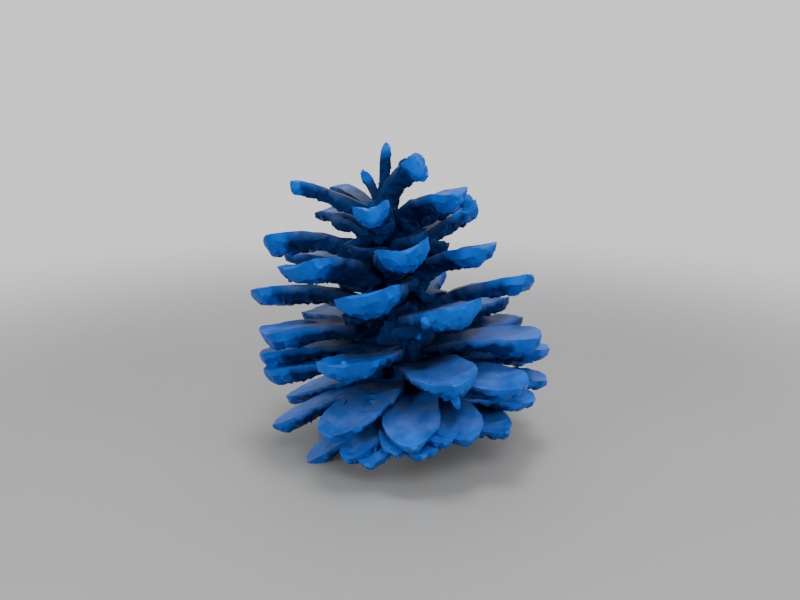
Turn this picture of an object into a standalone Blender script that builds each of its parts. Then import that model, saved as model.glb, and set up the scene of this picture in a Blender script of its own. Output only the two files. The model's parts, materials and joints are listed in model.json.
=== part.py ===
"""An opened pine cone standing on its base: a tapered core that leans a little, with woody scales on it
in a spiral, all grown as one piece. Metres, +Z up, +X to the right and -Y towards the viewer.
The origin is at the middle of the ground under the cone."""
import random
from dataclasses import dataclass
from math import cos, pi, radians, sin, sqrt

import bmesh
import bpy
from mathutils import Matrix, Vector

MM = 0.001

# The cone's own axis: where it meets the ground (mm) and how far it leans (degrees).
FOOT = (4.88, -1.92)
LEAN_LEFT = 10.0
LEAN_BACK = 4.0

# The core: height along the axis against radius (mm), with a blunt foot and a narrow top.
CORE = [(-2.0, 4.5), (2.0, 6.4), (12.0, 7.4), (30.0, 6.8), (44.0, 5.2), (53.0, 3.6), (58.0, 1.8)]
CORE_SIDES = 14

# What a scale is like depends on the height of its tip (mm), read off between these points.
TIP_HEIGHTS = (0.0, 12.0, 20.0, 30.0, 42.0, 52.0, 63.0)
TIP_REACH = (25.5, 30.5, 31.8, 31.8, 30.5, 26.0, 17.5)
ROOT_BELOW_TIP = (-5.0, -5.5, -1.5, 4.5, 8.5, 8.0, 8.0)
ROOT_SLOPE = (-25.0, -12.0, 4.0, 20.0, 28.0, 36.0, 45.0)
TIP_SLOPE = (-16.0, -14.0, -6.0, 1.0, 3.0, 5.0, 12.0)
SCALE_WIDTH = (10.5, 11.8, 12.2, 11.5, 10.5, 9.5, 4.5)
SCALE_CUP = (0.5, 0.6, 0.8, 1.0, 1.3, 1.4, 0.5)
BLADE_THICKNESS = (1.6, 1.6, 1.9, 2.5, 3.0, 3.0, 2.8)
END_THICKNESS = (2.4, 2.6, 3.0, 3.6, 3.8, 3.4, 3.0)
ROUND_END = (0.30, 0.30, 0.25, 0.14, 0.09, 0.10, 0.18)
END_BLUNTNESS = (2.1, 2.1, 2.3, 3.4, 4.5, 4.0, 2.8)

# The middle line of a scale: where it starts (mm from the axis) and how far its bends reach.
ROOT_OUT = 0.5
BEND = 0.38

# The section along a scale: sizes in mm, places as shares of its length from the root.
CLAW_WIDTH = 5.8
CLAW_THICKNESS = 4.4
CLAW_ENDS = 0.12
FULL_WIDTH_FROM = (0.44, 0.44, 0.48, 0.56, 0.60, 0.60, 0.60)
BLADE_FROM = 0.5
END_FULL_FROM = 0.88
BEVEL_FROM = 0.97
BEVEL = 0.20
DISH_FULL_FROM = 0.4
WALL_AT_MOST = 0.5
SIDE_WALL = (0.9, 0.9, 1.0, 1.4, 1.8, 1.7, 1.4)
CLAW_SIDE = 0.6
CLAW_SIDE_ENDS = 0.3
UNDERCUT = (0.50, 0.50, 0.50, 0.48, 0.45, 0.35, 0.05)
UNDERCUT_FROM = 0.6
UNDERCUT_FULL_FROM = 0.9
STATIONS = (0.0, 0.2, 0.42, 0.62, 0.79, 0.9, 0.965, 0.995)
KEEL_SIDE = (0.55, 0.8, 0.3)

# Scales on the far side follow a golden-angle spiral. Higher up fewer are hidden from the front.
GOLDEN_ANGLE = 137.5077
SPIRAL_START = 11.0
SPIRAL_SCALES = 66
SPIRAL_LOW = 1.0
SPIRAL_HIGH = 50.0
CLEAR_OF_NEIGHBOUR = 9.5
HEIGHT_COUNTS = 1.6
REACH_VARIES = 0.8
ROLL_VARIES = 6.0
SWEEP_VARIES = 1.0
HIDDEN_FROM = (90.0, 95.0, 105.0, 125.0, 150.0, 165.0, 181.0)
SEED = 7

COLOUR = (0.016, 0.125, 0.42, 1.0)
ROUGHNESS = 0.38
SHARP_ABOVE = 40.0


@dataclass
class Scale:
    """One scale: turn in degrees round the axis from the front (plus is to the right), the rest in mm
    along or out from the axis. What is left as None follows the rules above."""
    turn: float
    reach: float
    tip: float
    root: float = None
    width: float = None
    thick: float = None
    cup: float = None
    rise: float = None
    droop: float = None
    roll: float = 0.0
    sweep: float = 0.0


# The scales on the side that is seen, from the top down.
SEEN = [
    Scale(31, 7.4, 69.0, root=56.0, width=1.9, thick=1.7, cup=0.0, rise=62, droop=74),
    Scale(180, 0.4, 63.8, root=54.0, width=2.0, thick=1.3, cup=0.0, rise=88, droop=86, sweep=2.1),
    Scale(40, 15.6, 65.6, root=53.5, width=4.8, thick=4.0, cup=0.0, rise=68, droop=22),
    Scale(-86, 18.0, 64.6, root=55.2, width=3.6, thick=2.9, cup=0.1, rise=28, droop=14),
    Scale(-146, 19.0, 61.0, root=55.0, width=3.2, thick=2.2, cup=0.1, rise=24, droop=-4),
    Scale(-3, 22.0, 57.2, root=49.0, width=7.2, thick=3.0, cup=1.5, rise=34, droop=8, roll=2),
    Scale(50, 22.5, 56.4, root=46.5, width=9.2, thick=3.6, cup=0.9, rise=55, droop=-6),
    Scale(-139, 22.4, 55.8, root=52.5, width=5.6, thick=2.4, cup=0.3, rise=14, droop=0),
    Scale(104, 21.8, 53.1, root=42.2, width=8.0, thick=3.4, cup=0.6, rise=42, droop=24),
    Scale(-84, 26.3, 53.3, root=43.0, width=8.0, thick=4.2, cup=0.6, rise=42, droop=-3, roll=6),
    Scale(167, 26.6, 50.2, root=42.0, width=8.5, thick=2.6),
    Scale(-40, 28.6, 48.6, root=36.8, width=11.4, thick=3.6, cup=0.8, rise=38, droop=8, roll=6),
    Scale(10, 27.6, 48.7, root=40.0, width=10.2, thick=3.8, cup=1.5, rise=30, droop=12, roll=3),
    Scale(-121, 27.2, 47.2, root=42.5, width=8.0, thick=3.0, cup=0.6, rise=16, droop=4),
    Scale(48, 28.1, 45.3, root=34.8, width=9.6, thick=3.5, cup=0.5, rise=46, droop=1, roll=-5),
    Scale(-82, 31.2, 42.4, root=33.4, width=10.0, thick=3.6, cup=0.5, rise=26, droop=2, roll=8),
    Scale(-9, 30.3, 42.0, root=34.0, width=12.4, thick=4.4, cup=0.4, rise=28, droop=12, roll=5),
    Scale(24, 31.4, 36.4, root=29.5, width=12.6, thick=4.0, cup=0.3, rise=20, droop=14),
    Scale(75, 31.4, 36.0, root=29.0, width=8.8, thick=3.1, cup=0.4, rise=35, droop=4, roll=-12),
    Scale(-65, 31.5, 34.4, root=27.5, width=11.5, thick=3.8, cup=0.7, rise=22, droop=4),
    Scale(-134, 31.0, 31.4, root=29.0, width=9.0, thick=2.4, cup=0.6, rise=8, droop=2),
    Scale(-23, 31.8, 28.9, root=23.5, width=13.0, thick=3.6, cup=0.5, rise=14, droop=12, roll=-3),
    Scale(-84, 32.2, 28.2, root=25.3, width=11.0, thick=3.6, cup=0.5, rise=6, droop=0, roll=5),
    Scale(121, 29.9, 27.2, root=25.4, width=8.0, thick=2.4, rise=10, droop=0),
    Scale(-75, 32.0, 25.5, root=21.4, width=11.0, thick=3.6, cup=0.5, rise=8, droop=4, roll=4),
    Scale(66, 32.0, 23.6, root=22.0, width=11.5, thick=4.0, rise=14, droop=-3),
    Scale(18, 33.0, 21.7, root=20.5, width=12.8, thick=3.6, rise=8, droop=-1),
    Scale(116, 31.4, 22.5, root=21.0, width=11.0, thick=3.6, rise=8, droop=-2),
    Scale(84, 32.2, 18.3, root=19.0, width=10.0, thick=2.6, rise=4, droop=-5),
    Scale(44, 33.2, 16.6, root=18.5, width=13.2, thick=3.0, rise=0, droop=-6),
    Scale(-33, 31.4, 13.9, root=18.0, width=13.0, rise=-6, droop=-12),
    Scale(-105, 31.1, 14.3, root=19.0, width=11.0, thick=2.4),
    Scale(-74, 32.6, 12.9, root=18.0, width=9.5, rise=-8, droop=-12, roll=5),
    Scale(-1, 30.0, 10.4, root=17.5, width=11.8, rise=-12, droop=-14),
    Scale(78, 31.0, 12.0, root=15.0, width=11.5, thick=2.2),
    Scale(60, 29.8, 10.4, root=13.8, width=11.0),
    Scale(22, 29.0, 8.8, root=15.0, width=12.0, rise=-12, droop=-14),
    Scale(12, 28.6, 9.0, root=12.5, width=8.5),
    Scale(-9, 28.6, 8.8, root=12.5, width=8.5),
    Scale(-32, 28.2, 7.6, root=12.0, width=9.5),
    Scale(2, 27.8, 7.4, root=11.0, width=10.5),
    Scale(-23, 27.6, 6.6, root=11.5, width=11.0),
    Scale(43, 27.6, 6.6, root=12.0, width=11.0),
    Scale(-106, 25.0, 5.0, root=8.0, width=9.5),
    Scale(-71, 27.6, 3.6, root=9.5, width=9.2, sweep=1.2, rise=-10, droop=-22),
    Scale(13, 15.5, 31.0, root=24.0, width=8.5, thick=2.0, cup=0.8, rise=60, droop=45),
]


def between(height, values):
    """The value at a tip height, read off along straight lines between the listed points."""
    if height <= TIP_HEIGHTS[0]:
        return values[0]
    for low, high, here, there in zip(TIP_HEIGHTS, TIP_HEIGHTS[1:], values, values[1:]):
        if height <= high:
            return here + (there - here) * (height - low) / (high - low)
    return values[-1]


def ease(share):
    """A smooth step from 0 to 1."""
    share = min(max(share, 0.0), 1.0)
    return share * share * (3.0 - 2.0 * share)


def filled_in(scale):
    """The same scale with its missing values worked out from the height of its tip."""
    rules = {"root": scale.tip - between(scale.tip, ROOT_BELOW_TIP), "width": between(scale.tip, SCALE_WIDTH),
             "thick": between(scale.tip, END_THICKNESS), "cup": between(scale.tip, SCALE_CUP),
             "rise": between(scale.tip, ROOT_SLOPE), "droop": between(scale.tip, TIP_SLOPE)}
    for name, value in rules.items():
        if getattr(scale, name) is None:
            setattr(scale, name, value)
    return scale


def far_side(seen):
    """The scales that no view from the front shows: slots of a golden-angle spiral that are still free."""
    dice = random.Random(SEED)
    taken = list(seen)
    added = []
    for slot in range(SPIRAL_SCALES):
        turn = (SPIRAL_START + slot * GOLDEN_ANGLE + 180.0) % 360.0 - 180.0
        tip = SPIRAL_LOW + (SPIRAL_HIGH - SPIRAL_LOW) * slot / (SPIRAL_SCALES - 1)
        reach = between(tip, TIP_REACH) + dice.uniform(-REACH_VARIES, REACH_VARIES)
        if abs(turn) < between(tip, HIDDEN_FROM):
            continue
        if any(apart(turn, tip, reach, other) < CLEAR_OF_NEIGHBOUR for other in taken):
            continue
        roll = dice.uniform(-ROLL_VARIES, ROLL_VARIES)
        sweep = dice.uniform(-SWEEP_VARIES, SWEEP_VARIES)
        scale = Scale(turn, reach, tip, roll=roll, sweep=sweep)
        taken.append(scale)
        added.append(scale)
    return added


def apart(turn, tip, reach, other):
    """How far one tip is from another over the cone's surface, in mm."""
    round_axis = radians((turn - other.turn + 180.0) % 360.0 - 180.0) * reach
    return sqrt(round_axis ** 2 + (HEIGHT_COUNTS * (tip - other.tip)) ** 2)


def centreline(scale, share):
    """Point (out, up) and direction of a scale's middle line, a curve from the core to the tip."""
    start = Vector((ROOT_OUT, scale.root))
    end = Vector((scale.reach, scale.tip))
    hold = BEND * (end - start).length
    first = start + hold * Vector((cos(radians(scale.rise)), sin(radians(scale.rise))))
    second = end - hold * Vector((cos(radians(scale.droop)), sin(radians(scale.droop))))
    rest = 1.0 - share
    point = rest ** 3 * start + 3 * rest * rest * share * first + 3 * rest * share ** 2 * second + share ** 3 * end
    way = rest * rest * (first - start) + 2 * rest * share * (second - first) + share * share * (end - second)
    return point, way.normalized()


def half_width(scale, share):
    """Half the width: a narrow claw, then a broad blade with a round or blunt end."""
    full = scale.width / 2.0
    claw = min(CLAW_WIDTH / 2.0, full)
    rounded = between(scale.tip, ROUND_END)
    widening = (share - CLAW_ENDS) / (between(scale.tip, FULL_WIDTH_FROM) - CLAW_ENDS)
    broad = claw + (full - claw) * ease(widening)
    if share > 1.0 - rounded:
        past = min((share - 1.0 + rounded) / rounded, 1.0)
        blunt = between(scale.tip, END_BLUNTNESS)
        return broad * (1.0 - past ** blunt) ** (1.0 / blunt)
    return broad


def thickness(scale, share):
    """Thickness at the middle: stout at the claw, thin along the blade, thick at the end, with a bevel."""
    claw = CLAW_THICKNESS if scale.width > CLAW_WIDTH else scale.thick
    blade = min(between(scale.tip, BLADE_THICKNESS), scale.thick)
    if share < BLADE_FROM:
        return claw + (blade - claw) * ease(share / BLADE_FROM)
    swelling = ease((share - BLADE_FROM) / (END_FULL_FROM - BLADE_FROM))
    bevel = 1.0 - BEVEL * max(share - BEVEL_FROM, 0.0) / (1.0 - BEVEL_FROM)
    return (blade + (scale.thick - blade) * swelling) * bevel


def section(scale, share):
    """Eight points across a scale as (sideways, up, back): the dished upper face and the keeled underside."""
    half = half_width(scale, share)
    thick = thickness(scale, share)
    dish = scale.cup * (2.0 * half / scale.width) ** 2 * ease(share / DISH_FULL_FROM)
    edge = min(between(scale.tip, SIDE_WALL), WALL_AT_MOST * thick)
    if share < CLAW_SIDE_ENDS:
        edge = max(edge, CLAW_SIDE * thick * (1.0 - share / CLAW_SIDE_ENDS))
    undercut = between(scale.tip, UNDERCUT) * ease((share - UNDERCUT_FROM) / (UNDERCUT_FULL_FROM - UNDERCUT_FROM))
    out, deep, dished = KEEL_SIDE
    flank = (out * half, dished * dish - deep * thick)
    upper = [(-half, dish), (0.0, 0.0), (half, dish)]
    lower = [(half, dish - edge), flank, (0.0, -thick), (-flank[0], flank[1]), (-half, dish - edge)]
    points = [(side, up, 0.0) for side, up in upper]
    points += [(side, up, undercut * (dish - up)) for side, up in lower]
    return points


def ring(scale, share):
    """The section's points in the cone's own frame, in mm."""
    turn = radians(scale.turn)
    outward = Vector((sin(turn), -cos(turn), 0.0))
    sideways = Vector((cos(turn), sin(turn), 0.0))
    point, way = centreline(scale, share)
    along = outward * way.x + Vector((0, 0, way.y))
    upward = Vector((0, 0, way.x)) - outward * way.y
    twist = Matrix.Rotation(radians(scale.roll) * ease(share), 3, along)
    middle = outward * point.x + Vector((0, 0, point.y)) + sideways * scale.sweep * share * share
    across = twist @ sideways
    above = twist @ upward
    return [middle + across * side + above * up - along * back for side, up, back in section(scale, share)]


def leaning():
    """The turn and shift that take the cone's own frame into the scene, in mm."""
    left = Matrix.Rotation(-radians(LEAN_LEFT), 4, "Y")
    back = Matrix.Rotation(-radians(LEAN_BACK), 4, "X")
    return Matrix.Translation((FOOT[0], FOOT[1], 0.0)) @ back @ left


def closed_skin(name, rings, collection):
    """An object from rings of points, with a cap at each end; rings are in mm in the cone's own frame."""
    stand = Matrix.Scale(MM, 4) @ leaning()
    mesh = bmesh.new()
    rows = [[mesh.verts.new(stand @ point) for point in points] for points in rings]
    for row, following in zip(rows, rows[1:]):
        for index in range(len(row)):
            after = (index + 1) % len(row)
            mesh.faces.new((row[index], row[after], following[after], following[index]))
    mesh.faces.new(reversed(rows[0]))
    mesh.faces.new(rows[-1])
    bmesh.ops.triangulate(mesh, faces=mesh.faces)
    bmesh.ops.recalc_face_normals(mesh, faces=mesh.faces)
    data = bpy.data.meshes.new(name)
    mesh.to_mesh(data)
    mesh.free()
    made = bpy.data.objects.new(name, data)
    collection.objects.link(made)
    return made


def core(collection):
    """The core that carries the scales."""
    rings = []
    for height, radius in CORE:
        angles = [2.0 * pi * side / CORE_SIDES for side in range(CORE_SIDES)]
        rings.append([Vector((radius * cos(angle), radius * sin(angle), height)) for angle in angles])
    return closed_skin("core", rings, collection)


def joined(base, collection):
    """The base united with every object in the collection, which is emptied."""
    union = base.modifiers.new("union", "BOOLEAN")
    union.operation = "UNION"
    union.operand_type = "COLLECTION"
    union.collection = collection
    union.solver = "MANIFOLD"
    apply_modifiers(base)
    for other in list(collection.objects):
        bpy.data.objects.remove(other)


def apply_modifiers(thing):
    """Makes the modified shape the object's own mesh."""
    bpy.context.view_layer.update()
    evaluated = thing.evaluated_get(bpy.context.evaluated_depsgraph_get())
    mesh = bpy.data.meshes.new_from_object(evaluated)
    thing.modifiers.clear()
    thing.data = mesh


def cut_flat_below(thing):
    """Cuts off what reaches below the ground, which leaves flats on the foot and the lowest tips."""
    mesh = bmesh.new()
    mesh.from_mesh(thing.data)
    everything = mesh.verts[:] + mesh.edges[:] + mesh.faces[:]
    cut = bmesh.ops.bisect_plane(mesh, geom=everything, plane_co=(0, 0, 0), plane_no=(0, 0, 1),
                                 clear_inner=True)
    rim = [part for part in cut["geom_cut"] if isinstance(part, bmesh.types.BMEdge)]
    bmesh.ops.edgenet_fill(mesh, edges=rim)
    bmesh.ops.triangulate(mesh, faces=mesh.faces)
    bmesh.ops.recalc_face_normals(mesh, faces=mesh.faces)
    mesh.to_mesh(thing.data)
    mesh.free()


def cone_material():
    """Satin finish in the cone's colour."""
    material = bpy.data.materials.new("cone surface")
    material.use_nodes = True
    shader = material.node_tree.nodes["Principled BSDF"]
    shader.inputs["Base Color"].default_value = COLOUR
    shader.inputs["Roughness"].default_value = ROUGHNESS
    shader.inputs["Metallic"].default_value = 0.0
    return material


def build():
    for old in list(bpy.data.objects):
        bpy.data.objects.remove(old)
    parts = bpy.data.collections.new("parts to join")
    bpy.context.scene.collection.children.link(parts)
    cone = core(bpy.context.scene.collection)
    cone.name = "pine_cone"
    for number, scale in enumerate(SEEN + far_side(SEEN)):
        scale = filled_in(scale)
        closed_skin(f"scale_{number:02d}", [ring(scale, share) for share in STATIONS], parts)
    joined(cone, parts)
    bpy.data.collections.remove(parts)
    cut_flat_below(cone)
    cone.data.materials.clear()
    cone.data.materials.append(cone_material())
    cone.data.shade_smooth()
    cone.data.set_sharp_from_angle(angle=radians(SHARP_ABOVE))
    return cone


build()
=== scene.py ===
"""The opened pine cone's rough blue skin, on a pale floor in soft studio light."""
import json
import random
from dataclasses import dataclass
from math import cos, pi, radians, sin, sqrt

import bmesh
import bpy
import numpy as np
from mathutils import Matrix, Vector, kdtree, noise

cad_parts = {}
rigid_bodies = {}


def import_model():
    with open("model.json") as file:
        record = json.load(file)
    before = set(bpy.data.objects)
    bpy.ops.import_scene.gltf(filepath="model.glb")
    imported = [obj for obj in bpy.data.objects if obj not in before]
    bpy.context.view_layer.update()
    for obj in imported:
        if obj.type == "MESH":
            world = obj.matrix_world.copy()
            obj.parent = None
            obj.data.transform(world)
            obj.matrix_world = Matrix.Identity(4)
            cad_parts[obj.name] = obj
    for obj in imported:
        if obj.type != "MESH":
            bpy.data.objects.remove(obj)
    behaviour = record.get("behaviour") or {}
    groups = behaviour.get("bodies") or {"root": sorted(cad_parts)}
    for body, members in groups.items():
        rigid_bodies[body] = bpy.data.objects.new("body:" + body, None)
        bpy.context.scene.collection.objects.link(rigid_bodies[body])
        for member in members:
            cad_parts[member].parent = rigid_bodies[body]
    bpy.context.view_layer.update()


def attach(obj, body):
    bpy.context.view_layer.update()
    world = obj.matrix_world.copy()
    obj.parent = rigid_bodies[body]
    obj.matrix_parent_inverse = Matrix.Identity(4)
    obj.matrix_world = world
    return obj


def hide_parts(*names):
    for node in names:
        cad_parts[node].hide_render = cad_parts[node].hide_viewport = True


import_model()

MM = 0.001

# The cone's own axis: where it meets the ground (mm) and how far it leans (degrees).
FOOT = (4.88, -1.92)
LEAN_LEFT = 10.0
LEAN_BACK = 4.0

# The core: height along the axis against radius (mm), with a blunt foot and a narrow top.
CORE = [(-2.0, 4.5), (2.0, 6.4), (12.0, 7.4), (30.0, 6.8), (44.0, 5.2), (53.0, 3.6), (58.0, 1.8)]
CORE_SIDES = 40
CORE_STEPS = 6
CORE_LUMPS = 0.16
CORE_LUMP_SIZE = 0.33

# What a scale is like depends on the height of its tip (mm), read off between these points.
TIP_HEIGHTS = (0.0, 12.0, 20.0, 30.0, 42.0, 52.0, 63.0)
TIP_REACH = (25.5, 30.5, 31.8, 31.8, 30.5, 26.0, 17.5)
ROOT_BELOW_TIP = (-5.0, -5.5, -1.5, 4.5, 8.5, 8.0, 8.0)
ROOT_SLOPE = (-25.0, -12.0, 4.0, 20.0, 28.0, 36.0, 45.0)
TIP_SLOPE = (-16.0, -14.0, -6.0, 1.0, 3.0, 5.0, 12.0)
SCALE_WIDTH = (10.5, 11.8, 12.2, 11.5, 10.5, 9.5, 4.5)
SCALE_CUP = (0.5, 0.6, 0.8, 1.0, 1.3, 1.4, 0.5)
BLADE_THICKNESS = (1.6, 1.6, 1.9, 2.5, 3.0, 3.0, 2.8)
END_THICKNESS = (2.4, 2.6, 3.0, 3.6, 3.8, 3.4, 3.0)
ROUND_END = (0.30, 0.30, 0.25, 0.14, 0.09, 0.10, 0.18)
END_BLUNTNESS = (2.1, 2.1, 2.3, 3.4, 4.5, 4.0, 2.8)

# The middle line of a scale: where it starts (mm from the axis) and how far its bends reach.
ROOT_OUT = 0.5
BEND = 0.38

# The section along a scale: sizes in mm, places as shares of its length from the root.
CLAW_WIDTH = 5.8
CLAW_THICKNESS = 4.4
CLAW_ENDS = 0.12
FULL_WIDTH_FROM = (0.44, 0.44, 0.48, 0.56, 0.60, 0.60, 0.60)
BLADE_FROM = 0.5
END_FULL_FROM = 0.88
BEVEL_FROM = 0.97
BEVEL = 0.20
DISH_FULL_FROM = 0.4
WALL_AT_MOST = 0.5
SIDE_WALL = (0.9, 0.9, 1.0, 1.4, 1.8, 1.7, 1.4)
CLAW_SIDE = 0.6
CLAW_SIDE_ENDS = 0.3
UNDERCUT = (0.50, 0.50, 0.50, 0.48, 0.45, 0.35, 0.05)
UNDERCUT_FROM = 0.6
UNDERCUT_FULL_FROM = 0.9

# The finer section that the skin starts from: stations along a scale, points across each face, the
# rings that close the end as (size, mm outwards), and how the faces curve.
STATIONS = 44
CLOSER_TO_TIP = 1.4
LAST_SHARE = 0.998
ACROSS = 15
END_FACE = [(0.7, 0.25), (0.35, 0.4)]
DISH_CURVE = 1.8
KEEL_CURVE = 2.4

# How lumpy and ragged the wood is: noise scales per mm, then heights in mm. The sides wander by a share
# of the width, and all of it fades in from the root.
BROAD_LUMPS = 0.28
RAGGED_LUMPS = 0.6
EDGE_WAVES = 0.25
TOP_LUMPS = 0.25
BELOW_LUMPS = 0.5
RAGGED = 0.55
EDGE_WANDERS = 0.07
ROUGH_FULL_FROM = 0.3
SEED_STEP = 7.3
OCTAVES = (1.0, 2.0, 3)

# Scales on the far side follow a golden-angle spiral. Higher up fewer are hidden from the front.
GOLDEN_ANGLE = 137.5077
SPIRAL_START = 11.0
SPIRAL_SCALES = 66
SPIRAL_LOW = 1.0
SPIRAL_HIGH = 50.0
CLEAR_OF_NEIGHBOUR = 9.5
HEIGHT_COUNTS = 1.6
REACH_VARIES = 0.8
ROLL_VARIES = 6.0
SWEEP_VARIES = 1.0
HIDDEN_FROM = (90.0, 95.0, 105.0, 125.0, 150.0, 165.0, 181.0)
SEED = 7

# Short stubs between the roots, which fill the dark inside of the cone: ranges to draw from (mm and
# degrees).
STUBS = 40
STUB_HEIGHTS = (13.0, 50.0)
STUB_REACH = (9.5, 15.5)
STUB_CLIMB = (2.0, 6.5)
STUB_WIDTH = (4.0, 7.5)
STUB_THICKNESS = (1.6, 2.6)
STUB_RISE = (20.0, 60.0)
STUB_ROLL = 20.0
STUB_START = 40.0
STUB_CUP = 0.4

# Knobs and drips as (number of the scale in the list below, share of its length, across from -1 to 1,
# mm up from its upper face, radius in mm).
KNOBS = [(2, 0.82, -0.3, -0.9, 1.8), (2, 0.93, 0.1, -0.9, 1.9), (2, 0.90, 0.2, -2.8, 2.0),
         (2, 0.84, 0.6, -2.9, 1.6), (6, 0.96, 0.0, -0.9, 1.5), (6, 0.98, 0.5, -1.8, 1.4),
         (8, 0.94, 0.0, -1.5, 1.5), (8, 0.92, 0.5, -2.4, 1.1), (15, 0.62, 0.95, -1.0, 0.7),
         (15, 0.60, 1.05, -1.8, 0.5), (17, 0.92, -0.96, -1.3, 1.0), (17, 0.90, -0.99, -2.2, 0.7),
         (21, 0.96, 0.15, 0.2, 0.5), (26, 0.92, -0.02, -3.6, 0.9), (26, 0.91, 0.0, -4.6, 0.7),
         (26, 0.90, 0.02, -5.5, 0.5)]
KNOB_DETAIL = 3
KNOB_UNEVEN = 0.25

# Scales whose ends are turned away or worn, and so get no painted light on their ends.
UNLIT_ENDS = {4, 7, 13, 20, 23, 27, 45}

# Crumbs of wood on the underside of each scale: how many, where (shares of its length, and across from
# -1 to 1) and how large (mm). The noise makes crumbs and knobs lumpy.
CRUMBS = 6
CRUMB_SHARES = (0.25, 0.97)
CRUMB_ACROSS = 0.9
CRUMB_RADIUS = (0.35, 0.75)
CRUMB_DETAIL = 1
CRUMB_UNEVEN = 0.5
LUMP_NOISE = 0.9

# The joined skin is thinned out to this many triangles; edges above this angle (degrees) stay crisp.
SKIN_TRIANGLES = 90000
CREASE_ABOVE = 22.0

# Where the exposed end of a scale, painted bright as painted light, starts on top, by the height of its
# tip, and below (shares of its length), and how its edge blends and wanders. A stub has no such end.
END_ABOVE_FROM = (0.30, 0.32, 0.45, 0.66, 0.76, 0.78, 0.80)
END_BELOW_FROM = 0.86
NO_END = 2.0
END_BLENDS = 0.03
EDGE_OF_END = 0.06
END_WAVES = 0.35

# The greyish sheen on upper faces, in the same shares: painted sheen and painted light on upper faces,
# with painted shade towards the inside. It leaves short exposed ends bare, and most of the rim of the long
# ones.
FACE_FROM = 0.1
FACE_BLENDS = 0.2
BARE_ENDS_FROM = 0.42
BARE_ENDS_BLEND = 0.2
BARE_RIM = 0.75
BARE_RIM_FROM = 0.84
BARE_RIM_BLENDS = 0.10

# Chips and grit over the joined surface (mm), and how far down a face looks before it counts as an
# underside.
CHIP_SIZE = 2.6
CHIP_DEPTH = 0.70
CHIP_MIDDLE = 0.35
GRIT_SIZE = 1.1
GRIT_ON_TOP = 0.05
GRIT_BELOW = 0.22
GRIT_OCTAVES = (1.0, 2.1, 2)
UNDERSIDE = -0.15

# Colours of the skin: the bodies from outside to inside, dark as painted shade; the exposed ends from dull
# to bright, as painted light; the upper faces' painted sheen and painted light, darker inside as painted
# shade.
SHADED_BODY_BLUES = [(0.0, (0.001, 0.030, 0.15, 1.0)), (0.30, (0.001, 0.021, 0.105, 1.0)),
              (0.55, (0.001, 0.026, 0.120, 1.0)), (0.80, (0.002, 0.030, 0.130, 1.0))]
LIT_END_BLUES = [(0.35, (0.000, 0.090, 0.46, 1.0)), (0.65, (0.000, 0.130, 0.66, 1.0))]
PAINTED_SHEEN_GREYS = [(0.0, (0.085, 0.210, 0.74, 1.0)), (0.25, (0.090, 0.185, 0.58, 1.0)),
               (0.45, (0.070, 0.105, 0.23, 1.0)), (0.75, (0.020, 0.030, 0.065, 1.0))]
PAINTED_SHEEN_LEAST = 0.30
PAINTED_SHEEN_PATCHES = 0.60
PATCHES_BETWEEN = (0.38, 0.62)

# The mottle that varies colour and gloss and the grain that roughens (noise scales per metre, depth in
# metres), and how glossy the skin is.
MOTTLE_SCALE = 240.0
GRAIN_SCALE = 1500.0
NOISE_ROUGHNESS = 0.6
MOTTLE_IN_BODY = 0.4
GRAIN_STRENGTH = 0.2
GRAIN_DEPTH = 0.0002
ROUGH_LEAST = 0.26
ROUGH_MOTTLE = 0.20
ROUGH_INSIDE = 0.10
IOR = 1.45
SPECULAR = 0.25

# The floor's grey, and where it fades out (metres from the cone). It lies just below the ground.
FLOOR_GREY = 0.35
FLOOR_ROUGHNESS = 0.6
FLOOR_CORNERS = 96
FLOOR_HEIGHT = -0.0001
FADE_FROM = 0.07
FADE_TO = 0.30

# Light from all round as (place, grey), from straight below at 0 over the horizon at 0.5 to straight
# above at 1. Only a share of it comes from the front.
SKY = [(0.47, 0.0), (0.50, 0.10), (0.60, 0.26), (0.75, 0.42), (1.0, 0.42)]
SKY_STRENGTH = 2.6
FRONT_SHARE = 0.15
BACKGROUND = 1.0

# Soft square lights as (name, place, size, watts, whether it shows in the gloss), in metres.
LIT_SPOT = (0.0, 0.0, 0.035)
LIGHTS = [("left light", (-0.38, -0.34, 0.12), 0.16, 1.4, False),
          ("right light", (0.42, -0.26, 0.12), 0.16, 1.2, False),
          ("front light", (0.06, -0.36, 0.36), 0.20, 0.9, False),
          ("top light", (0.02, -0.05, 0.50), 0.12, 1.1, True)]

# The camera as solved from the photograph (mm and degrees; the nearest that it shows is in metres).
CAMERA_AT = (-0.12, -191.02, 84.59)
CAMERA_DOWN = 14.904
LENS = 39.38
SENSOR = 36.0
NEAREST = 0.005


@dataclass
class Scale:
    """One scale: turn in degrees round the axis from the front (plus is to the right), the rest in mm
    along or out from the axis. What is left as None follows the rules above."""
    turn: float
    reach: float
    tip: float
    root: float = None
    width: float = None
    thick: float = None
    cup: float = None
    rise: float = None
    droop: float = None
    roll: float = 0.0
    sweep: float = 0.0


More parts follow.
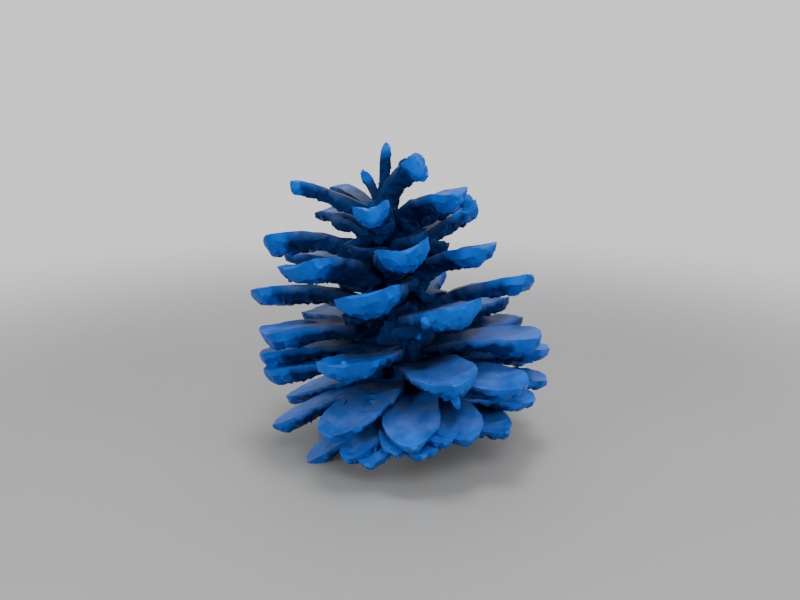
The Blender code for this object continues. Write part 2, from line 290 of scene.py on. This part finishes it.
# The scales on the side that is seen, from the top down.
SEEN = [
    Scale(31, 7.4, 69.0, root=56.0, width=1.9, thick=1.7, cup=0.0, rise=62, droop=74),
    Scale(180, 0.4, 63.8, root=54.0, width=2.0, thick=1.3, cup=0.0, rise=88, droop=86, sweep=2.1),
    Scale(40, 15.6, 65.6, root=53.5, width=4.8, thick=4.0, cup=0.0, rise=68, droop=22),
    Scale(-86, 18.0, 64.6, root=55.2, width=3.6, thick=2.9, cup=0.1, rise=28, droop=14),
    Scale(-146, 19.0, 61.0, root=55.0, width=3.2, thick=2.2, cup=0.1, rise=24, droop=-4),
    Scale(-3, 22.0, 57.2, root=49.0, width=7.2, thick=3.0, cup=1.5, rise=34, droop=8, roll=2),
    Scale(50, 22.5, 56.4, root=46.5, width=9.2, thick=3.6, cup=0.9, rise=55, droop=-6),
    Scale(-139, 22.4, 55.8, root=52.5, width=5.6, thick=2.4, cup=0.3, rise=14, droop=0),
    Scale(104, 21.8, 53.1, root=42.2, width=8.0, thick=3.4, cup=0.6, rise=42, droop=24),
    Scale(-84, 26.3, 53.3, root=43.0, width=8.0, thick=4.2, cup=0.6, rise=42, droop=-3, roll=6),
    Scale(167, 26.6, 50.2, root=42.0, width=8.5, thick=2.6),
    Scale(-40, 28.6, 48.6, root=36.8, width=11.4, thick=3.6, cup=0.8, rise=38, droop=8, roll=6),
    Scale(10, 27.6, 48.7, root=40.0, width=10.2, thick=3.8, cup=1.5, rise=30, droop=12, roll=3),
    Scale(-121, 27.2, 47.2, root=42.5, width=8.0, thick=3.0, cup=0.6, rise=16, droop=4),
    Scale(48, 28.1, 45.3, root=34.8, width=9.6, thick=3.5, cup=0.5, rise=46, droop=1, roll=-5),
    Scale(-82, 31.2, 42.4, root=33.4, width=10.0, thick=3.6, cup=0.5, rise=26, droop=2, roll=8),
    Scale(-9, 30.3, 42.0, root=34.0, width=12.4, thick=4.4, cup=0.4, rise=28, droop=12, roll=5),
    Scale(24, 31.4, 36.4, root=29.5, width=12.6, thick=4.0, cup=0.3, rise=20, droop=14),
    Scale(75, 31.4, 36.0, root=29.0, width=8.8, thick=3.1, cup=0.4, rise=35, droop=4, roll=-12),
    Scale(-65, 31.5, 34.4, root=27.5, width=11.5, thick=3.8, cup=0.7, rise=22, droop=4),
    Scale(-134, 31.0, 31.4, root=29.0, width=9.0, thick=2.4, cup=0.6, rise=8, droop=2),
    Scale(-23, 31.8, 28.9, root=23.5, width=13.0, thick=3.6, cup=0.5, rise=14, droop=12, roll=-3),
    Scale(-84, 32.2, 28.2, root=25.3, width=11.0, thick=3.6, cup=0.5, rise=6, droop=0, roll=5),
    Scale(121, 29.9, 27.2, root=25.4, width=8.0, thick=2.4, rise=10, droop=0),
    Scale(-75, 32.0, 25.5, root=21.4, width=11.0, thick=3.6, cup=0.5, rise=8, droop=4, roll=4),
    Scale(66, 32.0, 23.6, root=22.0, width=11.5, thick=4.0, rise=14, droop=-3),
    Scale(18, 33.0, 21.7, root=20.5, width=12.8, thick=3.6, rise=8, droop=-1),
    Scale(116, 31.4, 22.5, root=21.0, width=11.0, thick=3.6, rise=8, droop=-2),
    Scale(84, 32.2, 18.3, root=19.0, width=10.0, thick=2.6, rise=4, droop=-5),
    Scale(44, 33.2, 16.6, root=18.5, width=13.2, thick=3.0, rise=0, droop=-6),
    Scale(-33, 31.4, 13.9, root=18.0, width=13.0, rise=-6, droop=-12),
    Scale(-105, 31.1, 14.3, root=19.0, width=11.0, thick=2.4),
    Scale(-74, 32.6, 12.9, root=18.0, width=9.5, rise=-8, droop=-12, roll=5),
    Scale(-1, 30.0, 10.4, root=17.5, width=11.8, rise=-12, droop=-14),
    Scale(78, 31.0, 12.0, root=15.0, width=11.5, thick=2.2),
    Scale(60, 29.8, 10.4, root=13.8, width=11.0),
    Scale(22, 29.0, 8.8, root=15.0, width=12.0, rise=-12, droop=-14),
    Scale(12, 28.6, 9.0, root=12.5, width=8.5),
    Scale(-9, 28.6, 8.8, root=12.5, width=8.5),
    Scale(-32, 28.2, 7.6, root=12.0, width=9.5),
    Scale(2, 27.8, 7.4, root=11.0, width=10.5),
    Scale(-23, 27.6, 6.6, root=11.5, width=11.0),
    Scale(43, 27.6, 6.6, root=12.0, width=11.0),
    Scale(-106, 25.0, 5.0, root=8.0, width=9.5),
    Scale(-71, 27.6, 3.6, root=9.5, width=9.2, sweep=1.2, rise=-10, droop=-22),
    Scale(13, 15.5, 31.0, root=24.0, width=8.5, thick=2.0, cup=0.8, rise=60, droop=45),
]


def between(height, values):
    """The value at a tip height, read off along straight lines between the listed points."""
    if height <= TIP_HEIGHTS[0]:
        return values[0]
    for low, high, here, there in zip(TIP_HEIGHTS, TIP_HEIGHTS[1:], values, values[1:]):
        if height <= high:
            return here + (there - here) * (height - low) / (high - low)
    return values[-1]


def ease(share):
    """A smooth step from 0 to 1."""
    share = min(max(share, 0.0), 1.0)
    return share * share * (3.0 - 2.0 * share)


def filled_in(scale):
    """The same scale with its missing values worked out from the height of its tip."""
    rules = {"root": scale.tip - between(scale.tip, ROOT_BELOW_TIP),
             "width": between(scale.tip, SCALE_WIDTH), "thick": between(scale.tip, END_THICKNESS),
             "cup": between(scale.tip, SCALE_CUP), "rise": between(scale.tip, ROOT_SLOPE),
             "droop": between(scale.tip, TIP_SLOPE)}
    for name, value in rules.items():
        if getattr(scale, name) is None:
            setattr(scale, name, value)
    return scale


def far_side(seen):
    """The scales that no view from the front shows: slots of a golden-angle spiral that are still free."""
    dice = random.Random(SEED)
    taken = list(seen)
    added = []
    for slot in range(SPIRAL_SCALES):
        turn = (SPIRAL_START + slot * GOLDEN_ANGLE + 180.0) % 360.0 - 180.0
        tip = SPIRAL_LOW + (SPIRAL_HIGH - SPIRAL_LOW) * slot / (SPIRAL_SCALES - 1)
        reach = between(tip, TIP_REACH) + dice.uniform(-REACH_VARIES, REACH_VARIES)
        if abs(turn) < between(tip, HIDDEN_FROM):
            continue
        if any(apart(turn, tip, reach, other) < CLEAR_OF_NEIGHBOUR for other in taken):
            continue
        roll = dice.uniform(-ROLL_VARIES, ROLL_VARIES)
        sweep = dice.uniform(-SWEEP_VARIES, SWEEP_VARIES)
        scale = Scale(turn, reach, tip, roll=roll, sweep=sweep)
        taken.append(scale)
        added.append(scale)
    return added


def apart(turn, tip, reach, other):
    """How far one tip is from another over the cone's surface, in mm."""
    round_axis = radians((turn - other.turn + 180.0) % 360.0 - 180.0) * reach
    return sqrt(round_axis ** 2 + (HEIGHT_COUNTS * (tip - other.tip)) ** 2)


def centreline(scale, share):
    """Point (out, up) and direction of a scale's middle line, a curve from the core to the tip."""
    start = Vector((ROOT_OUT, scale.root))
    end = Vector((scale.reach, scale.tip))
    hold = BEND * (end - start).length
    first = start + hold * Vector((cos(radians(scale.rise)), sin(radians(scale.rise))))
    second = end - hold * Vector((cos(radians(scale.droop)), sin(radians(scale.droop))))
    rest = 1.0 - share
    point = (rest ** 3 * start + 3 * rest * rest * share * first + 3 * rest * share ** 2 * second
             + share ** 3 * end)
    way = (rest * rest * (first - start) + 2 * rest * share * (second - first)
           + share * share * (end - second))
    return point, way.normalized()


def half_width(scale, share):
    """Half the width: a narrow claw, then a broad blade with a round or blunt end."""
    full = scale.width / 2.0
    claw = min(CLAW_WIDTH / 2.0, full)
    rounded = between(scale.tip, ROUND_END)
    widening = (share - CLAW_ENDS) / (between(scale.tip, FULL_WIDTH_FROM) - CLAW_ENDS)
    broad = claw + (full - claw) * ease(widening)
    if share > 1.0 - rounded:
        past = min((share - 1.0 + rounded) / rounded, 1.0)
        blunt = between(scale.tip, END_BLUNTNESS)
        return broad * (1.0 - past ** blunt) ** (1.0 / blunt)
    return broad


def thickness(scale, share):
    """Thickness at the middle: stout at the claw, thin along the blade, thick at the end, with a bevel."""
    claw = CLAW_THICKNESS if scale.width > CLAW_WIDTH else scale.thick
    blade = min(between(scale.tip, BLADE_THICKNESS), scale.thick)
    if share < BLADE_FROM:
        return claw + (blade - claw) * ease(share / BLADE_FROM)
    swelling = ease((share - BLADE_FROM) / (END_FULL_FROM - BLADE_FROM))
    bevel = 1.0 - BEVEL * max(share - BEVEL_FROM, 0.0) / (1.0 - BEVEL_FROM)
    return (blade + (scale.thick - blade) * swelling) * bevel


def set_back(scale, share):
    """How far the underside lies back from the tip, for each mm of its depth."""
    grown = ease((share - UNDERCUT_FROM) / (UNDERCUT_FULL_FROM - UNDERCUT_FROM))
    return between(scale.tip, UNDERCUT) * grown


def section(scale, share):
    """Points round a scale as (sideways, up, back): the dished upper face, then the keeled underside."""
    half = half_width(scale, share)
    thick = thickness(scale, share)
    dish = scale.cup * (2.0 * half / scale.width) ** 2 * ease(share / DISH_FULL_FROM)
    edge = min(between(scale.tip, SIDE_WALL), WALL_AT_MOST * thick)
    if share < CLAW_SIDE_ENDS:
        edge = max(edge, CLAW_SIDE * thick * (1.0 - share / CLAW_SIDE_ENDS))
    undercut = set_back(scale, share)
    points = []
    for step in range(ACROSS):
        across = -1.0 + 2.0 * step / (ACROSS - 1)
        points.append((across * half, dish * abs(across) ** DISH_CURVE, 0.0))
    for step in range(ACROSS):
        across = 1.0 - 2.0 * step / (ACROSS - 1)
        out = abs(across) ** KEEL_CURVE
        up = -thick * (1.0 - out) + (dish - edge) * out
        points.append((across * half, up, undercut * (dish - up)))
    return points


def roughened(scale, seed, share, point):
    """A section's point moved by the lumps of the wood: small on top, larger and ragged below."""
    side, up, back = point
    spot = Vector((side, share * scale.reach, seed * SEED_STEP))
    swell = ease(share / ROUGH_FULL_FROM)
    lump = noise.noise(spot * BROAD_LUMPS + Vector((0, 0, up * BROAD_LUMPS)))
    flank = 1.0 if side > 0 else -1.0
    wave = noise.noise(Vector((share * scale.reach * EDGE_WAVES, flank, seed * SEED_STEP)))
    side *= 1.0 + EDGE_WANDERS * wave * swell
    if up >= 0.0:
        return side, up + TOP_LUMPS * lump * swell, back
    ragged = noise.fractal(spot * RAGGED_LUMPS, *OCTAVES)
    return side, up + (BELOW_LUMPS * lump + RAGGED * ragged) * swell, back + BELOW_LUMPS * lump * swell


def setting(scale, share):
    """Where a section sits: its middle, then the ways across, above and along the scale."""
    turn = radians(scale.turn)
    outward = Vector((sin(turn), -cos(turn), 0.0))
    sideways = Vector((cos(turn), sin(turn), 0.0))
    point, way = centreline(scale, share)
    along = outward * way.x + Vector((0, 0, way.y))
    upward = Vector((0, 0, way.x)) - outward * way.y
    twist = Matrix.Rotation(radians(scale.roll) * ease(share), 3, along)
    middle = outward * point.x + Vector((0, 0, point.y)) + sideways * scale.sweep * share * share
    return middle, twist @ sideways, twist @ upward, along


def ring(scale, seed, share):
    """The section's points in the cone's own frame, in mm."""
    middle, across, above, along = setting(scale, share)
    rough = [roughened(scale, seed, share, spot) for spot in section(scale, share)]
    return [middle + across * side + above * up - along * back for side, up, back in rough]


def leaning():
    """The turn and shift that take the cone's own frame into the scene, in mm."""
    left = Matrix.Rotation(-radians(LEAN_LEFT), 4, "Y")
    back = Matrix.Rotation(-radians(LEAN_BACK), 4, "X")
    return Matrix.Translation((FOOT[0], FOOT[1], 0.0)) @ back @ left


def standing():
    """The same, from mm in the cone's own frame to metres in the scene."""
    return Matrix.Scale(MM, 4) @ leaning()


class Marks:
    """What each point of the separate skins keeps, to be found again on the joined surface."""

    def __init__(self):
        self.places = []
        self.kept = []

    def add(self, place, share, below, starts):
        """Keeps a point's share of the scale's length, whether it is below, and where the end starts."""
        self.places.append(place)
        self.kept.append((share, below, starts))

    def grow(self):
        """The search tree over all points."""
        self.tree = kdtree.KDTree(len(self.places))
        for number, place in enumerate(self.places):
            self.tree.insert(place, number)
        self.tree.balance()

    def at(self, place):
        """What the nearest point keeps."""
        return self.kept[self.tree.find(place)[1]]


def thing_from(mesh, name, collection):
    """An object from a bmesh, with its faces as triangles that all look outwards."""
    bmesh.ops.triangulate(mesh, faces=mesh.faces)
    bmesh.ops.recalc_face_normals(mesh, faces=mesh.faces)
    data = bpy.data.meshes.new(name)
    mesh.to_mesh(data)
    mesh.free()
    made = bpy.data.objects.new(name, data)
    collection.objects.link(made)
    return made


def closed_skin(name, rings, collection):
    """An object from rings of points, with a cap at each end; rings are in mm in the cone's own frame."""
    stand = standing()
    mesh = bmesh.new()
    rows = [[mesh.verts.new(stand @ point) for point in points] for points in rings]
    for row, following in zip(rows, rows[1:]):
        for index in range(len(row)):
            after = (index + 1) % len(row)
            mesh.faces.new((row[index], row[after], following[after], following[index]))
    mesh.faces.new(reversed(rows[0]))
    mesh.faces.new(rows[-1])
    return thing_from(mesh, name, collection)


def scale_skin(scale, number, has_lit_end, marks, collection):
    """One scale's closed skin; a broken stub has no exposed end, and the ends of the scales listed as dull
    get no painted light.
    """
    shares = station_shares()
    rings = [ring(scale, number + 1, share) for share in shares]
    rings += end_face(scale, rings[-1])
    shares += [1.0] * len(END_FACE)
    stand = standing()
    above_from = between(scale.tip, END_ABOVE_FROM) if has_lit_end else NO_END
    below_from = END_BELOW_FROM if has_lit_end else NO_END
    for points, share in zip(rings, shares):
        for index, point in enumerate(points):
            on_top = index < ACROSS
            marks.add(stand @ point, share, 0.0 if on_top else 1.0, above_from if on_top else below_from)
    return closed_skin(f"scale_{number:03d}", rings, collection)


def end_face(scale, last):
    """Rings that close a scale's end with a slightly swollen face."""
    along = setting(scale, 1.0)[3]
    middle = sum(last, Vector()) / len(last)
    return [[middle + (point - middle) * size + along * out for point in last] for size, out in END_FACE]


def core_skin(marks, collection):
    """The core that carries the scales, with a lumpy surface."""
    rings = []
    stand = standing()
    for (low, narrow), (high, wide) in zip(CORE, CORE[1:]):
        for step in range(CORE_STEPS):
            height = low + (high - low) * step / CORE_STEPS
            radius = narrow + (wide - narrow) * step / CORE_STEPS
            points = []
            for side in range(CORE_SIDES):
                angle = 2.0 * pi * side / CORE_SIDES
                spot = Vector((cos(angle), sin(angle), 0.0)) * radius + Vector((0, 0, height))
                lump = 1.0 + CORE_LUMPS * noise.fractal(spot * CORE_LUMP_SIZE, *OCTAVES)
                points.append(Vector((spot.x * lump, spot.y * lump, height)))
                marks.add(stand @ points[-1], 0.0, 1.0, NO_END)
            rings.append(points)
    return closed_skin("pine_cone_skin", rings, collection)


def add_lump(name, place, radius, detail, unevenness, share, marks, collection):
    """A rough lump at a place in mm in the cone's own frame."""
    spot = standing() @ Matrix.Translation(place)
    mesh = bmesh.new()
    bmesh.ops.create_icosphere(mesh, subdivisions=detail, radius=radius)
    for vertex in mesh.verts:
        size = 1.0 + unevenness * noise.noise((vertex.co + place) * LUMP_NOISE)
        vertex.co = spot @ (vertex.co * size)
        marks.add(vertex.co.copy(), share, 1.0, END_BELOW_FROM)
    return thing_from(mesh, name, collection)


def underside(scale, share, across):
    """A place in mm on a scale's underside, across from -1 to 1."""
    middle, sideways, above, along = setting(scale, share)
    deep = thickness(scale, share) * (1.0 - abs(across) ** KEEL_CURVE)
    undercut = set_back(scale, share)
    return middle + sideways * across * half_width(scale, share) - above * deep - along * undercut * deep


def add_crumbs(scale, number, dice, marks, collection):
    """Crumbs of wood along a scale's underside."""
    for crumb in range(CRUMBS):
        share = dice.uniform(*CRUMB_SHARES)
        place = underside(scale, share, dice.uniform(-CRUMB_ACROSS, CRUMB_ACROSS))
        radius = dice.uniform(*CRUMB_RADIUS)
        add_lump(f"crumb_{number:03d}_{crumb}", place, radius, CRUMB_DETAIL, CRUMB_UNEVEN, share, marks,
                 collection)


def add_knobs(scales, marks, collection):
    """The knobs and drips that stand out on single scales."""
    for knob, (number, share, across, up, radius) in enumerate(KNOBS):
        scale = scales[number]
        middle, sideways, above, along = setting(scale, share)
        place = middle + sideways * across * scale.width / 2.0 + above * up
        add_lump(f"knob_{knob:02d}", place, radius, KNOB_DETAIL, KNOB_UNEVEN, share, marks, collection)


def stubs(dice):
    """Short broken scales and bracts near the core, between the roots of the others."""
    made = []
    low, high = STUB_HEIGHTS
    for number in range(STUBS):
        root = low + (high - low) * number / (STUBS - 1)
        made.append(Scale(number * GOLDEN_ANGLE + STUB_START, dice.uniform(*STUB_REACH),
                          root + dice.uniform(*STUB_CLIMB), root=root, width=dice.uniform(*STUB_WIDTH),
                          thick=dice.uniform(*STUB_THICKNESS), cup=STUB_CUP, rise=dice.uniform(*STUB_RISE),
                          roll=dice.uniform(-STUB_ROLL, STUB_ROLL)))
    return made


def station_shares():
    """Shares of a scale's length for its stations, closer together towards the tip."""
    shares = [1.0 - (1.0 - step / (STATIONS - 1)) ** CLOSER_TO_TIP for step in range(STATIONS)]
    return [min(share, LAST_SHARE) for share in shares]


def joined_body(marks):
    """Core, scales, stubs, crumbs and knobs, joined into one closed surface."""
    parts = bpy.data.collections.new("parts to join")
    bpy.context.scene.collection.children.link(parts)
    body = core_skin(marks, bpy.context.scene.collection)
    dice = random.Random(SEED)
    whole = [filled_in(scale) for scale in SEEN + far_side(SEEN)]
    broken = [filled_in(scale) for scale in stubs(dice)]
    for number, scale in enumerate(whole + broken):
        scale_skin(scale, number, number < len(whole) and number not in UNLIT_ENDS, marks, parts)
        if number < len(whole):
            add_crumbs(scale, number, dice, marks, parts)
    add_knobs(whole, marks, parts)
    joining = body.modifiers.new("union", "BOOLEAN")
    joining.operation = "UNION"
    joining.operand_type = "COLLECTION"
    joining.collection = parts
    joining.solver = "MANIFOLD"
    apply_modifiers(body)
    for other in list(parts.objects):
        bpy.data.objects.remove(other)
    bpy.data.collections.remove(parts)
    keep_largest(body)
    return body


def keep_largest(thing):
    """Drops crumbs that touch nothing, so that one connected surface is left."""
    mesh = bmesh.new()
    mesh.from_mesh(thing.data)
    waiting = set(mesh.verts)
    islands = []
    while waiting:
        island = {waiting.pop()}
        edge = list(island)
        while edge:
            near = {link.other_vert(vertex) for vertex in edge for link in vertex.link_edges}
            edge = list(near - island)
            island |= near
        waiting -= island
        islands.append(island)
    largest = max(islands, key=len)
    loose = [vertex for island in islands if island is not largest for vertex in island]
    bmesh.ops.delete(mesh, geom=loose, context="VERTS")
    mesh.to_mesh(thing.data)
    mesh.free()


def apply_modifiers(thing):
    """Makes the modified shape the object's own mesh."""
    bpy.context.view_layer.update()
    evaluated = thing.evaluated_get(bpy.context.evaluated_depsgraph_get())
    mesh = bpy.data.meshes.new_from_object(evaluated)
    thing.modifiers.clear()
    thing.data = mesh


def thin_out(body):
    """Fewer triangles, which leaves soft facets all over."""
    triangles = sum(len(face.vertices) - 2 for face in body.data.polygons)
    thinning = body.modifiers.new("thin out", "DECIMATE")
    thinning.ratio = min(1.0, SKIN_TRIANGLES / triangles)
    apply_modifiers(body)


def weather(body):
    """Shallow chips with crisp ridges between them, and grit that is stronger on the undersides."""
    mesh = body.data
    count = len(mesh.vertices)
    spots = np.empty(count * 3, dtype=np.float32)
    normals = np.empty(count * 3, dtype=np.float32)
    mesh.vertices.foreach_get("co", spots)
    mesh.vertex_normals.foreach_get("vector", normals)
    spots = spots.reshape(-1, 3)
    normals = normals.reshape(-1, 3)
    chips = np.empty(count, dtype=np.float32)
    grit = np.empty(count, dtype=np.float32)
    for index, spot in enumerate(spots / MM):
        spot = Vector(spot)
        near, after = noise.voronoi(spot / CHIP_SIZE)[0][:2]
        chips[index] = near - after
        grit[index] = noise.fractal(spot / GRIT_SIZE, *GRIT_OCTAVES)
    strength = np.where(normals[:, 2] < UNDERSIDE, GRIT_BELOW, GRIT_ON_TOP)
    moved = CHIP_DEPTH * (chips + CHIP_MIDDLE) + strength * grit
    spots = spots + normals * (moved * MM)[:, None]
    mesh.vertices.foreach_set("co", spots.reshape(-1))
    mesh.update()


def cut_flat_below(thing):
    """Cuts off what reaches below the ground, which leaves flats on the foot and the lowest tips."""
    mesh = bmesh.new()
    mesh.from_mesh(thing.data)
    everything = mesh.verts[:] + mesh.edges[:] + mesh.faces[:]
    cut = bmesh.ops.bisect_plane(mesh, geom=everything, plane_co=(0, 0, 0), plane_no=(0, 0, 1),
                                 clear_inner=True)
    rim = [part for part in cut["geom_cut"] if isinstance(part, bmesh.types.BMEdge)]
    bmesh.ops.edgenet_fill(mesh, edges=rim)
    bmesh.ops.triangulate(mesh, faces=mesh.faces)
    bmesh.ops.recalc_face_normals(mesh, faces=mesh.faces)
    mesh.to_mesh(thing.data)
    mesh.free()


def crease(body):
    """Smooth shading with crisp edges between facets that meet at an angle."""
    body.data.shade_smooth()
    body.data.set_sharp_from_angle(angle=radians(CREASE_ABOVE))


def mark_places(body, marks):
    """Stores on each point how far it belongs to a scale's exposed end, to a scale's upper face, and to
    the inside of the cone, each from 0 to 1."""
    marks.grow()
    upright = leaning().inverted() @ Matrix.Scale(1.0 / MM, 4)
    ends = []
    faces = []
    depths = []
    for vertex in body.data.vertices:
        share, below, starts = marks.at(vertex.co)
        spot = upright @ vertex.co
        wander = EDGE_OF_END * noise.noise(spot * END_WAVES)
        # How far a point lies in the exposed end, which the skin paints bright as painted light.
        ends.append(ease((share + wander - starts) / END_BLENDS))
        # The upper-face mark, which carries the painted sheen and painted light on upper faces.
        bare = max(ends[-1] * ease((starts - BARE_ENDS_FROM) / BARE_ENDS_BLEND),
                   BARE_RIM * ease((share + wander - BARE_RIM_FROM) / BARE_RIM_BLENDS))
        faces.append((1.0 - below) * ease((share - FACE_FROM) / FACE_BLENDS) * (1.0 - bare))
        reach = between(spot.z, TIP_REACH)
        depths.append(1.0 - min(sqrt(spot.x ** 2 + spot.y ** 2) / reach, 1.0))
    for name, values in (("end", ends), ("face", faces), ("inside", depths)):
        mark = body.data.attributes.new(name, "FLOAT", "POINT")
        mark.data.foreach_set("value", values)


class Wire:
    """A shader socket for use in Python expressions: each operator adds its Math node."""

    def __init__(self, nodes, socket):
        self.nodes = nodes
        self.socket = socket

    def maths(self, operation, first, second):
        return self.nodes.node("ShaderNodeMath", {"operation": operation}, {0: first, 1: second})

    def __add__(self, other):
        return self.maths("ADD", self, other)

    def __radd__(self, other):
        return self.maths("ADD", other, self)

    def __sub__(self, other):
        return self.maths("SUBTRACT", self, other)

    def __rsub__(self, other):
        return self.maths("SUBTRACT", other, self)

    def __mul__(self, other):
        return self.maths("MULTIPLY", self, other)

    def __rmul__(self, other):
        return self.maths("MULTIPLY", other, self)


class Nodes:
    """The nodes of a material or of the surroundings."""

    def __init__(self, owner):
        owner.use_nodes = True
        self.owner = owner
        self.tree = owner.node_tree

    def node(self, kind, settings, sockets, output=0):
        """Adds a node: its settings first, then the values or links of its sockets."""
        made = self.tree.nodes.new(kind)
        for name, value in settings.items():
            if name == "stops":
                self.set_stops(made.color_ramp, value)
            else:
                setattr(made, name, value)
        for name, value in sockets.items():
            self.feed(made.inputs[name], value)
        return Wire(self, made.outputs[output])

    def set_stops(self, ramp, stops):
        """The colours along a ramp as (position, colour)."""
        while len(ramp.elements) < len(stops):
            ramp.elements.new(1.0)
        for element, (position, colour) in zip(ramp.elements, stops):
            element.position = position
            element.color = colour

    def feed(self, socket, value):
        """A link from a wire, or a plain value."""
        if isinstance(value, Wire):
            self.tree.links.new(value.socket, socket)
        else:
            socket.default_value = value

    def mixed(self, factor, first, second):
        """One colour blended into another."""
        return self.node("ShaderNodeMix", {"data_type": "RGBA"}, {0: factor, 6: first, 7: second}, 2)

    def finish_with(self, shader, **sockets):
        """Sets or links sockets of a node that is there; underscores stand for spaces in their names."""
        for name, value in sockets.items():
            self.feed(self.tree.nodes[shader].inputs[name.replace("_", " ")], value)
        return self.owner


def grey(level):
    """A neutral colour."""
    return (level, level, level, 1.0)


def blue_skin():
    """Bright blue exposed ends as painted light, dark blue bodies as painted shade with a greyish painted
    sheen and painted light on top, nearly black inside as painted shade.
    """
    skin = Nodes(bpy.data.materials.new("satin blue skin"))
    place = skin.node("ShaderNodeTexCoord", {}, {}, "Object")
    end = skin.node("ShaderNodeAttribute", {"attribute_name": "end"}, {}, "Fac")
    face = skin.node("ShaderNodeAttribute", {"attribute_name": "face"}, {}, "Fac")
    inside = skin.node("ShaderNodeAttribute", {"attribute_name": "inside"}, {}, "Fac")
    mottle = skin.node("ShaderNodeTexNoise", {}, {"Vector": place, "Scale": MOTTLE_SCALE, "Detail": 4.0,
                                                  "Roughness": NOISE_ROUGHNESS})
    grain = skin.node("ShaderNodeTexNoise", {}, {"Vector": place, "Scale": GRAIN_SCALE, "Detail": 3.0,
                                                 "Roughness": NOISE_ROUGHNESS})
    # The bodies' blues are painted shade, varied by depth inside and by mottle.
    body = skin.node("ShaderNodeValToRGB", {"stops": SHADED_BODY_BLUES},
                     {"Fac": inside + MOTTLE_IN_BODY * (mottle - 0.5)})
    # The exposed ends' bright blues are painted light.
    tips = skin.node("ShaderNodeValToRGB", {"stops": LIT_END_BLUES}, {"Fac": mottle})
    blue = skin.mixed(end, body, tips)
    thin, full = PATCHES_BETWEEN
    patches = skin.node("ShaderNodeMapRange", {}, {"Value": mottle, "From Min": thin, "From Max": full})
    # A greyish sheen and lighter upper faces, as painted sheen and painted light, with painted shade
    # inward.
    painted_sheen = skin.node("ShaderNodeValToRGB", {"stops": PAINTED_SHEEN_GREYS}, {"Fac": inside})
    colour = skin.mixed(face * (PAINTED_SHEEN_LEAST + PAINTED_SHEEN_PATCHES * patches), blue, painted_sheen)
    rough = ROUGH_LEAST + ROUGH_MOTTLE * mottle + ROUGH_INSIDE * inside
    relief = skin.node("ShaderNodeBump", {}, {"Height": grain, "Strength": GRAIN_STRENGTH,
                                              "Distance": GRAIN_DEPTH})
    return skin.finish_with("Principled BSDF", Base_Color=colour, Roughness=rough, Normal=relief,
                            IOR=IOR, Specular_IOR_Level=SPECULAR)


def pale_floor():
    """Matt grey that fades out with distance from the cone, into the pale surroundings."""
    paint = Nodes(bpy.data.materials.new("pale floor"))
    place = paint.node("ShaderNodeTexCoord", {}, {}, "Object")
    distance = paint.node("ShaderNodeVectorMath", {"operation": "LENGTH"}, {0: place}, "Value")
    stays = paint.node("ShaderNodeMapRange", {"interpolation_type": "SMOOTHERSTEP"},
                       {"Value": distance, "From Min": FADE_FROM, "From Max": FADE_TO,
                        "To Min": 1.0, "To Max": 0.0})
    return paint.finish_with("Principled BSDF", Base_Color=grey(FLOOR_GREY), Roughness=FLOOR_ROUGHNESS,
                             Alpha=stays)


def lay_floor():
    """A round pale floor, which throws no light back up at the cone."""
    mesh = bmesh.new()
    bmesh.ops.create_circle(mesh, cap_ends=True, segments=FLOOR_CORNERS, radius=FADE_TO)
    data = bpy.data.meshes.new("floor")
    mesh.to_mesh(data)
    mesh.free()
    floor = bpy.data.objects.new("floor", data)
    floor.location = (0.0, 0.0, FLOOR_HEIGHT)
    floor.visible_diffuse = False
    bpy.context.scene.collection.objects.link(floor)
    data.materials.append(pale_floor())


def hang_light(name, place, size, power, in_gloss):
    """A soft square light that faces the cone."""
    lamp = bpy.data.lights.new(name, "AREA")
    lamp.size = size
    lamp.energy = power
    holder = bpy.data.objects.new(name, lamp)
    holder.location = place
    holder.visible_glossy = in_gloss
    holder.rotation_euler = (Vector(LIT_SPOT) - Vector(place)).to_track_quat("-Z", "Y").to_euler()
    bpy.context.scene.collection.objects.link(holder)


def surround():
    """Light from above and more from behind, none from below, and a plain pale background."""
    world = bpy.data.worlds.new("studio")
    air = Nodes(world)
    way = air.node("ShaderNodeTexCoord", {}, {}, "Generated")
    height = air.node("ShaderNodeSeparateXYZ", {}, {"Vector": way}, "Z")
    rear = air.node("ShaderNodeSeparateXYZ", {}, {"Vector": way}, "Y")
    glow = air.node("ShaderNodeValToRGB", {"stops": [(position, grey(level)) for position, level in SKY]},
                    {"Fac": 0.5 + 0.5 * height})
    share = FRONT_SHARE + (1.0 - FRONT_SHARE) * (0.5 + 0.5 * rear)
    glow = air.mixed(share, grey(0.0), glow)
    behind = air.node("ShaderNodeLightPath", {}, {}, "Is Camera Ray")
    colour = air.mixed(behind, glow, grey(BACKGROUND / SKY_STRENGTH))
    air.finish_with("Background", Color=colour, Strength=SKY_STRENGTH)
    bpy.context.scene.world = world


def light_studio():
    """The surroundings and the soft lights."""
    surround()
    for light in LIGHTS:
        hang_light(*light)


def place_camera():
    """The photograph's camera, solved from the ground grid."""
    lens = bpy.data.cameras.new("camera")
    lens.lens = LENS
    lens.sensor_width = SENSOR
    lens.clip_start = NEAREST
    camera = bpy.data.objects.new("camera", lens)
    camera.location = Vector(CAMERA_AT) * MM
    camera.rotation_euler = (radians(90.0 - CAMERA_DOWN), 0.0, 0.0)
    bpy.context.scene.collection.objects.link(camera)
    bpy.context.scene.camera = camera


def dress_cone():
    """The cone's skin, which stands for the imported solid."""
    marks = Marks()
    body = joined_body(marks)
    thin_out(body)
    weather(body)
    cut_flat_below(body)
    crease(body)
    mark_places(body, marks)
    body.data.materials.clear()
    body.data.materials.append(blue_skin())
    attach(body, "root")
    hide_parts("pine_cone")


dress_cone()
lay_floor()
light_studio()
place_camera()
